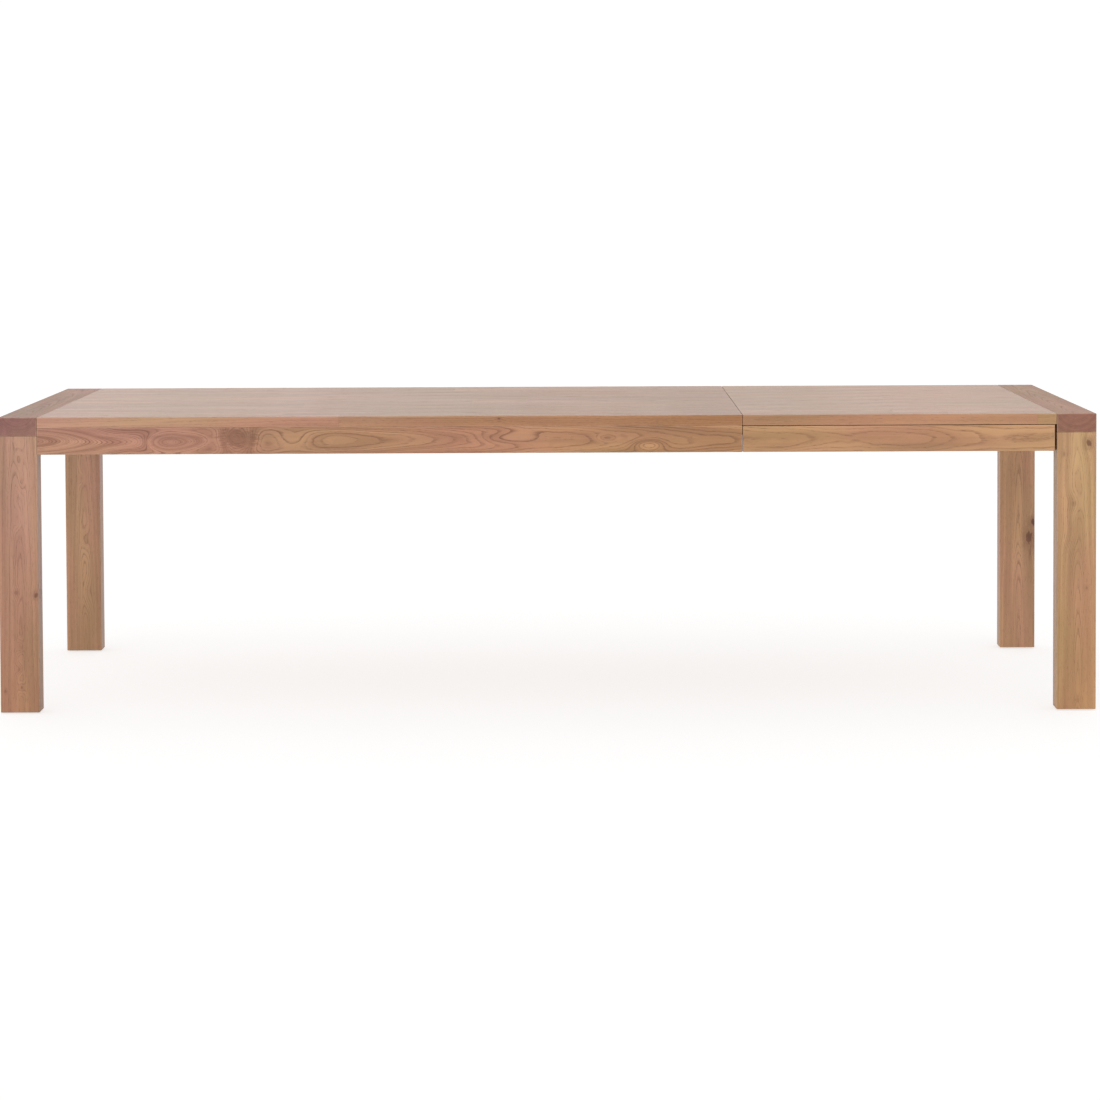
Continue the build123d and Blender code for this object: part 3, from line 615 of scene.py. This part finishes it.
def oak_material(node, axes, tone, far_tone=None, staves=None, figures=(), **look):
    """Oak for one CAD node, from tone at the board's low end to far_tone at its high end.

    look sets inputs of the oak group, figures are dictionaries for FIGURE.
    """
    material = bpy.data.materials.new(f"oak_{node}")
    material.use_nodes = True
    g = Graph(material.node_tree)
    shader = material.node_tree.nodes["Principled BSDF"]
    board, half_size, end = board_place(g, node, axes)
    inputs = {"Board": board, "End": end}
    inputs["Arris"] = use_group(g, ARRIS, {"Board": board, "Half": half_size})["Arris"]
    inputs.update(board_tones(g, board, half_size[2], tone, far_tone or tone))
    inputs.update(figure_inputs(g, board, figures))
    if staves:
        cut = use_group(g, STAVES, {"Board": board, **staves})
        inputs.update(stave_inputs(g, cut))
    wood = use_group(g, OAK, {**inputs, **look})
    paint = stave_paint(g, cut, wood["Color"]) if staves else wood["Color"]
    g.feed(shader.inputs["Base Color"], paint)
    g.feed(shader.inputs["Roughness"], wood["Roughness"])
    g.feed(shader.inputs["Normal"], g.bump(g.times(wood["Height"], RELIEF)))
    shader.inputs["Specular IOR Level"].default_value = WOOD_SPECULAR
    shader.inputs["Coat Weight"].default_value = VARNISH
    shader.inputs["Coat Roughness"].default_value = VARNISH_ROUGHNESS
    assign([node], material)


def assign(nodes, material):
    """Gives each of these CAD nodes the material and no other."""
    for node in nodes:
        slots = NODES[node].data.materials
        slots.clear()
        slots.append(material)


# ---- boards ----------------------------------------------------------------------------------------
def figure(across, along, radius, stretch=2.0, rise=0.01, core=0.0, depth=None):
    """A swirl through the whole board, or a short one when its depth is given."""
    return {
        "Deep": 0.0 if depth is None else 1.0,
        "Middle": (across, depth or 0.0, along),
        "Radius": radius,
        "Stretch": stretch,
        "Rise": rise,
        "Core": core,
    }


# Knots and swirls as in the photo, in metres from the middle of each board. On the top, two long faint
# dark figures along the front edge are painted shade.
LEG_FIGURES = {
    "left_front_leg": [
        figure(0.004, 0.275, 0.010, 3.0, 0.008, 0.1),
        figure(0.010, 0.225, 0.006, 3.0, 0.007, 0.2),
        figure(-0.002, 0.13, 0.007, 3.0, 0.007, 0.15),
        figure(0.045, -0.067, 0.011, 1.3, 0.005, 0.75),
        figure(-0.007, -0.062, 0.008, 1.5, 0.004, 0.45),
        figure(0.002, -0.200, 0.007, 1.8, 0.008, 0.2),
        figure(-0.002, -0.258, 0.007, 1.6, 0.008, 0.25),
        figure(0.004, -0.305, 0.007, 1.6, 0.008, 0.2),
        figure(-0.037, -0.315, 0.006, 1.4, 0.002, 0.45),
    ],
    "left_back_leg": [
        figure(0.006, 0.262, 0.008, 1.3, 0.004, 0.55),
        figure(-0.004, 0.13, 0.007, 2.0, 0.006, 0.15),
        figure(0.006, -0.05, 0.009, 3.0, 0.007, 0.1),
        figure(0.012, -0.20, 0.009, 3.4, 0.008, 0.1),
    ],
    "right_back_leg": [
        figure(0.046, -0.006, 0.017, 1.1, 0.008, 0.9),
        figure(0.034, -0.050, 0.019, 1.9, 0.008, 0.85),
        figure(0.038, -0.092, 0.007, 4.5, 0.002, 0.5),
    ],
    "right_front_leg": [
        figure(0.031, 0.312, 0.015, 1.3, 0.007, 0.8),
        figure(0.044, 0.26, 0.020, 6.0, 0.002, 0.12),
        figure(-0.032, 0.285, 0.009, 1.2, 0.003, 0.35),
        figure(-0.008, 0.158, 0.015, 1.3, 0.007, 0.25),
        figure(0.026, -0.058, 0.008, 1.2, 0.003, 0.35),
        figure(-0.018, 0.09, 0.014, 2.2, 0.008, 0.05),
        figure(0.004, -0.345, 0.014, 0.8, 0.003, 0.2),
    ],
}

FRONT_APRON_FIGURES = [
    figure(0.000, -0.93, 0.024, 4.0, -0.040),
    figure(0.000, -0.560, 0.018, 3.0, 0.030),
    figure(0.018, -0.70, 0.012, 4.0, 0.010),
    figure(-0.022, -0.68, 0.010, 4.0, 0.008),
    figure(-0.003, -0.560, 0.0110, 2.8, 0.028),
    figure(0.000, -0.490, 0.0140, 2.0, 0.016),
    figure(0.002, -0.390, 0.024, 1.5, 0.040),
    figure(0.006, -0.384, 0.058, 2.0, 0.0, 0.50),
    figure(0.000, 0.020, 0.110, 4.5, 0.0, 0.14),
    figure(0.012, -0.400, 0.005, 1.5, 0.004, 0.5),
    figure(0.000, -0.372, 0.003, 2.6, 0.002, 0.4),
    figure(0.002, -0.255, 0.020, 2.6, 0.016),
    figure(0.004, 0.30, 0.012, 5.0, 0.010),
    figure(0.004, 0.555, 0.006, 3.0, 0.006, 0.3),
    figure(-0.014, 0.66, 0.010, 3.0, 0.013),
]

TOP_FIGURES_AND_EDGE_SHADE = {
    "main_top": [
        figure(-0.502, 0.280, 0.0075, 1.4, 0.004, 0.75, depth=0.006),
        # Painted shade: two long, faint dark streaks with no bulge along the top's front edge, darker
        # towards the right.
        figure(-0.507, -0.15, 0.030, 16.0, 0.0, 0.09, depth=0.0),
        figure(-0.507, 0.50, 0.030, 22.0, 0.0, 0.20, depth=0.0),
    ],
    "leaf_top": [],
}

# Mean colours as 8-bit numbers: at a board's low end, then at its high end.
# Each leg is darker at its low end than at its high end: painted shade towards the floor, put into the
# wood's tone.
LEG_TONES = {
    "left_front_leg": ((165, 120, 92), (170, 132, 110)),
    "left_back_leg": ((172, 129, 100), (173, 133, 110)),
    "right_front_leg": ((174, 132, 93), (180, 141, 106)),
    "right_back_leg": ((178, 135, 105), (201, 154, 124)),
}
# The left-hand boards (left rail, left end of the main top, left end of the front apron) are paler and
# pinker, the right-hand ones more golden. This is partly the wood's own tone and partly painted light:
# a haze of light from the left put into the wood's colour.
RAIL_TONES = {"left_end_rail": (164, 122, 104), "right_end_rail": (162, 118, 90)}
TOP_TONES = {
    # Pale, pinkish left end: partly painted haze of light from the left.
    "main_top": ((180, 138, 114), (158, 108, 73)),
    "leaf_top": ((172, 128, 94), (174, 131, 97)),
}
# Pinker left end: partly painted haze of light from the left.
FRONT_APRON_TONES = ((170, 125, 104), (170, 127, 90))
BACK_APRON_TONE = (171, 129, 104)
LEAF_APRON_TONE = (174, 131, 97)
CROSS_RAIL_TONE = (166, 126, 98)
BEARER_TONE = (172, 134, 100)
BLOCK_TONE = (176, 140, 106)
DOWEL_TONE = (204, 172, 136)

# How each kind of board was cut, as inputs of the oak group, and how its top staves are laid.
LEG_CUT = {
    "Pith across": 0.004,
    "Pith depth": -0.006,
    "Drift depth": 0.035,
    "Ring": 0.0026,
    "Wave": 0.0035,
    "Contrast": 0.5,
}
RAIL_CUT = {"Contrast": 0.4, "Matt": 0.52}
TOP_CUT = {"Contrast": 0.3, "Matt": 0.34}
TOP_STAVES = {"Width": 0.112, "Length": 1.7}
MAIN_APRON_CUT = {"Pith depth": 0.03, "Drift depth": 0.035, "Ring": 0.0024, "Wave": 0.0038}
LEAF_APRON_CUT = {
    "Pith depth": 0.07,
    "Drift depth": 0.012,
    "Ring": 0.003,
    "Wave": 0.004,
    "Contrast": 0.7,
}
DOWEL_CUT = {"Ring": 0.0012, "Contrast": 0.2}


def make_legs():
    for n, (node, (low, high)) in enumerate(LEG_TONES.items()):
        oak_material(node, UPRIGHT, low, high, figures=LEG_FIGURES[node], Seed=1.3 + 1.7 * n,
                     **LEG_CUT)


def make_rails():
    for n, (node, tone) in enumerate(RAIL_TONES.items()):
        oak_material(node, FLAT_ACROSS, tone, Seed=6.2 + n, **RAIL_CUT)


def make_tops():
    for n, (node, (left, right)) in enumerate(TOP_TONES.items()):
        staves = {"Seed": 3.0 + 5.0 * n, **TOP_STAVES}
        oak_material(node, FLAT, left, right, staves, TOP_FIGURES_AND_EDGE_SHADE[node], Seed=8.1 + n, **TOP_CUT)


def make_aprons():
    oak_material("main_front_apron", FACING_FRONT, *FRONT_APRON_TONES, figures=FRONT_APRON_FIGURES,
                 Seed=10.2, Contrast=1.0, **MAIN_APRON_CUT)
    oak_material("main_back_apron", FACING_FRONT, BACK_APRON_TONE, Seed=11.8, Contrast=0.7,
                 **MAIN_APRON_CUT)
    oak_material("leaf_front_apron", FACING_FRONT, LEAF_APRON_TONE, Seed=12.4, **LEAF_APRON_CUT)
    oak_material("leaf_back_apron", FACING_FRONT, LEAF_APRON_TONE, Seed=13.7, **LEAF_APRON_CUT)


def make_underframe():
    for n, node in enumerate(("left_cross_rail", "right_cross_rail", "mouth_cross_rail")):
        oak_material(node, FACING_END, CROSS_RAIL_TONE, Seed=20.0 + n)
    bearers = [f"bearer_{number}" for number in (1, 2, 3)]
    battens = [f"leaf_{name}_batten" for name in ("left", "middle", "right")]
    for n, node in enumerate(bearers + battens):
        oak_material(node, FLAT_ACROSS, BEARER_TONE, Seed=30.0 + n)
    for n, node in enumerate(("main_glue_blocks", "leaf_glue_blocks", "mouth_corner_blocks")):
        oak_material(node, FLAT, BLOCK_TONE, Seed=40.0 + n)
    oak_material("left_end_dowels", FLAT, DOWEL_TONE, Seed=50.0, **DOWEL_CUT)


def make_wood():
    make_legs()
    make_rails()
    make_tops()
    make_aprons()
    make_underframe()


# ---- hardware --------------------------------------------------------------------------------------
MILLIMETRES = (1000.0, 1000.0, 1000.0)
EDGE_RADIUS = 0.0006
EDGE_SAMPLES = 4
EDGE_RAMP = (0.90, 0.995, 1.0, 0.0)
EVEN_RAMP = (0.3, 0.7)

# For each finish: linear colours, waves to the millimetre along X, Y and Z, how noise becomes a
# level, how much of each colour is mixed in, the roughness, and the relief in metres.
ZINC_YELLOW = (0.60, 0.57, 0.49, 1.0)
ZINC_BLUE = (0.55, 0.58, 0.62, 1.0)
ZINC_SPOT = (0.34, 0.33, 0.31, 1.0)
ZINC_EDGE = (0.80, 0.79, 0.76, 1.0)
ZINC_CLOUD_WAVES = (0.05, 0.05, 0.07)
ZINC_SPOT_WAVES = (0.9, 0.9, 0.9)
ZINC_BRUSH_WAVES = (0.35, 6.0, 6.0)
ZINC_SPOT_RAMP = (0.60, 0.74)
ZINC_SPOT_SHARE = 0.45
ZINC_EDGE_SHARE = 0.5
ZINC_ROUGHNESS = (0.26, 0.42)
ZINC_SPOT_MATT = 0.15
ZINC_RELIEF = 0.00002

ALUMINIUM_DARK = (0.63, 0.63, 0.64, 1.0)
ALUMINIUM_LIGHT = (0.76, 0.76, 0.76, 1.0)
ALUMINIUM_HAZE = (0.58, 0.585, 0.60, 1.0)
ALUMINIUM_EDGE = (0.88, 0.88, 0.88, 1.0)
ALUMINIUM_LINE_WAVES = (0.004, 5.5, 5.5)
ALUMINIUM_HAZE_WAVES = (0.02, 0.06, 0.06)
ALUMINIUM_HAZE_SHARE = 0.3
ALUMINIUM_EDGE_SHARE = 0.5
ALUMINIUM_ROUGHNESS = (0.44, 0.30)
ALUMINIUM_HAZE_MATT = 0.08
ALUMINIUM_RELIEF = 0.00003

COAT_BLACK = (0.030, 0.030, 0.032, 1.0)
COAT_DUST = (0.060, 0.057, 0.054, 1.0)
COAT_EDGE = (0.30, 0.29, 0.28, 1.0)
COAT_SCUFF = (0.13, 0.13, 0.13, 1.0)
COAT_PEEL_WAVES = (0.8, 0.8, 0.8)
COAT_DUST_WAVES = (0.03, 0.08, 0.08)
COAT_RUB_WAVES = (0.1, 0.4, 0.4)
COAT_SCUFF_WAVES = (0.02, 3.0, 3.0)
COAT_DUST_RAMP = (0.4, 0.75)
COAT_RUB_RAMP = (0.4, 0.6)
COAT_SCUFF_RAMP = (0.62, 0.72)
COAT_RUB_SHARE = 0.7
COAT_SCUFF_SHARE = 0.25
COAT_ROUGHNESS = (0.42, 0.56)
COAT_SCUFF_GLOSS = 0.1
COAT_RELIEF = 0.00012

WHITE_NYLON = ((0.62, 0.60, 0.55, 1.0), (0.74, 0.72, 0.67, 1.0))
BROWN_NYLON = ((0.085, 0.05, 0.03, 1.0), (0.13, 0.08, 0.05, 1.0))
NYLON_SPECULAR = 0.45
NYLON_CLOUD_WAVES = (0.12, 0.12, 0.12)
NYLON_GRAIN_WAVES = (3.0, 3.0, 3.0)
NYLON_EDGE_SHARE = 0.4
NYLON_EDGE_PALER = (0.7, 0.25)
NYLON_ROUGHNESS = (0.44, 0.60)
NYLON_RELIEF = 0.00004

RUBBER_BLACK = (0.022, 0.021, 0.020, 1.0)
RUBBER_BLOOM = (0.050, 0.048, 0.045, 1.0)
RUBBER_SPECULAR = 0.35
RUBBER_GRAIN_WAVES = (1.6, 1.6, 1.6)
RUBBER_BLOOM_WAVES = (0.15, 0.15, 0.15)
RUBBER_BLOOM_RAMP = (0.4, 0.7)
RUBBER_ROUGHNESS = (0.74, 0.9)
RUBBER_RELIEF = 0.0001

ZINC_NODES = (
    "bearer_screws", "bracket_screws", "channel_screws", "keeper_screws", "left_leg_bolts",
    "left_rail_screws", "lock_keepers", "mouth_axles", "mouth_brackets", "right_leg_bolts",
    "right_rail_screws", "beam_plates", "beam_plate_screws", "leaf_pins", "tail_axles",
    "batten_screws", "lock_plates", "lock_pivots", "lock_screws", "front_lock_lever",
    "back_lock_lever",
)
CHANNEL_NODES = ("front_guide_channel", "back_guide_channel")
BEAM_NODES = ("front_slide_beam", "back_slide_beam")
ROLLER_NODES = ("front_mouth_roller", "back_mouth_roller", "front_tail_roller", "back_tail_roller")
BROWN_NODES = ("left_glides", "right_glides", "beam_caps")


def new_surface(name, metallic=0.0, specular=0.5):
    """A material with its graph, shader and coordinates in millimetres."""
    material = bpy.data.materials.new(name)
    material.use_nodes = True
    g = Graph(material.node_tree)
    shader = material.node_tree.nodes["Principled BSDF"]
    shader.inputs["Metallic"].default_value = metallic
    shader.inputs["Specular IOR Level"].default_value = specular
    place = g.vector("MULTIPLY", g.node("ShaderNodeTexCoord", output="Object"), MILLIMETRES)
    return material, g, shader, place


def texture(g, place, waves, detail=2.0):
    """Noise with this many waves to the millimetre along X, Y and Z."""
    return g.noise(g.vector("MULTIPLY", place, waves), detail)


def worn_edges(g):
    """1 on outside edges, from how far a small bevel turns the surface."""
    rounded = g.node("ShaderNodeBevel", {"Radius": EDGE_RADIUS}, samples=EDGE_SAMPLES)
    flat = g.node("ShaderNodeNewGeometry", output="Normal")
    return g.smooth(g.vector("DOT_PRODUCT", rounded, flat), *EDGE_RAMP)


def finish_surface(g, shader, paint, rough, height, metres):
    g.feed(shader.inputs["Base Color"], paint)
    g.feed(shader.inputs["Roughness"], rough)
    g.feed(shader.inputs["Normal"], g.bump(g.times(height, metres)))


def zinc_plate():
    """Bright zinc with a faint yellow and blue passivation, brushed and a little spotted."""
    material, g, shader, place = new_surface("zinc_plate", metallic=1.0)
    cloud = g.smooth(texture(g, place, ZINC_CLOUD_WAVES, 3.0), *EVEN_RAMP)
    spots = g.smooth(texture(g, place, ZINC_SPOT_WAVES, 3.0), *ZINC_SPOT_RAMP)
    brush = texture(g, place, ZINC_BRUSH_WAVES)
    paint = g.mix(cloud, ZINC_YELLOW, ZINC_BLUE)
    paint = g.mix(g.times(spots, ZINC_SPOT_SHARE), paint, ZINC_SPOT)
    paint = g.mix(g.times(worn_edges(g), ZINC_EDGE_SHARE), paint, ZINC_EDGE)
    rough = g.smooth(brush, *EVEN_RAMP, *ZINC_ROUGHNESS)
    rough = g.add(rough, g.times(spots, ZINC_SPOT_MATT))
    finish_surface(g, shader, paint, rough, brush, ZINC_RELIEF)
    return material


def extruded_aluminium():
    """Anodised aluminium with die lines along X."""
    material, g, shader, place = new_surface("extruded_aluminium", metallic=1.0)
    lines = texture(g, place, ALUMINIUM_LINE_WAVES, 3.0)
    haze = g.smooth(texture(g, place, ALUMINIUM_HAZE_WAVES), *EVEN_RAMP)
    paint = g.mix(g.smooth(lines, *EVEN_RAMP), ALUMINIUM_DARK, ALUMINIUM_LIGHT)
    paint = g.mix(g.times(haze, ALUMINIUM_HAZE_SHARE), paint, ALUMINIUM_HAZE)
    paint = g.mix(g.times(worn_edges(g), ALUMINIUM_EDGE_SHARE), paint, ALUMINIUM_EDGE)
    rough = g.smooth(lines, *EVEN_RAMP, *ALUMINIUM_ROUGHNESS)
    rough = g.add(rough, g.times(haze, ALUMINIUM_HAZE_MATT))
    finish_surface(g, shader, paint, rough, lines, ALUMINIUM_RELIEF)
    return material


def black_powder_coat():
    """Dark powder coat on steel tube: fine orange peel, rubbed through a little on the edges."""
    material, g, shader, place = new_surface("black_powder_coat")
    peel = texture(g, place, COAT_PEEL_WAVES)
    dust = g.smooth(texture(g, place, COAT_DUST_WAVES, 4.0), *COAT_DUST_RAMP)
    patches = g.smooth(texture(g, place, COAT_RUB_WAVES), *COAT_RUB_RAMP)
    rub = g.times(worn_edges(g), patches)
    scuff = g.smooth(texture(g, place, COAT_SCUFF_WAVES), *COAT_SCUFF_RAMP)
    paint = g.mix(dust, COAT_BLACK, COAT_DUST)
    paint = g.mix(g.times(rub, COAT_RUB_SHARE), paint, COAT_EDGE)
    paint = g.mix(g.times(scuff, COAT_SCUFF_SHARE), paint, COAT_SCUFF)
    rough = g.smooth(peel, *EVEN_RAMP, *COAT_ROUGHNESS)
    rough = g.add(rough, g.times(scuff, -COAT_SCUFF_GLOSS))
    finish_surface(g, shader, paint, rough, peel, COAT_RELIEF)
    return material


def moulded_nylon(name, low, high):
    """Matt moulded nylon, a little cloudy, with a fine eroded texture."""
    material, g, shader, place = new_surface(name, specular=NYLON_SPECULAR)
    cloud = g.smooth(texture(g, place, NYLON_CLOUD_WAVES, 3.0), *EVEN_RAMP)
    grain = texture(g, place, NYLON_GRAIN_WAVES)
    kept, added = NYLON_EDGE_PALER
    paler = tuple(kept * level + added for level in high[:3]) + (1.0,)
    paint = g.mix(g.times(worn_edges(g), NYLON_EDGE_SHARE), g.mix(cloud, low, high), paler)
    rough = g.smooth(grain, *EVEN_RAMP, *NYLON_ROUGHNESS)
    finish_surface(g, shader, paint, rough, grain, NYLON_RELIEF)
    return material


def black_rubber():
    """Dull rubber with a pale bloom."""
    material, g, shader, place = new_surface("black_rubber", specular=RUBBER_SPECULAR)
    grain = texture(g, place, RUBBER_GRAIN_WAVES, 3.0)
    bloom = g.smooth(texture(g, place, RUBBER_BLOOM_WAVES, 3.0), *RUBBER_BLOOM_RAMP)
    paint = g.mix(bloom, RUBBER_BLACK, RUBBER_BLOOM)
    rough = g.smooth(grain, *EVEN_RAMP, *RUBBER_ROUGHNESS)
    finish_surface(g, shader, paint, rough, grain, RUBBER_RELIEF)
    return material


def make_hardware():
    assign(ZINC_NODES, zinc_plate())
    assign(CHANNEL_NODES, extruded_aluminium())
    assign(BEAM_NODES, black_powder_coat())
    assign(ROLLER_NODES, moulded_nylon("white_nylon", *WHITE_NYLON))
    assign(BROWN_NODES, moulded_nylon("brown_nylon", *BROWN_NYLON))
    assign(["slide_stops"], black_rubber())


make_camera()
make_studio()
make_wood()
make_hardware()
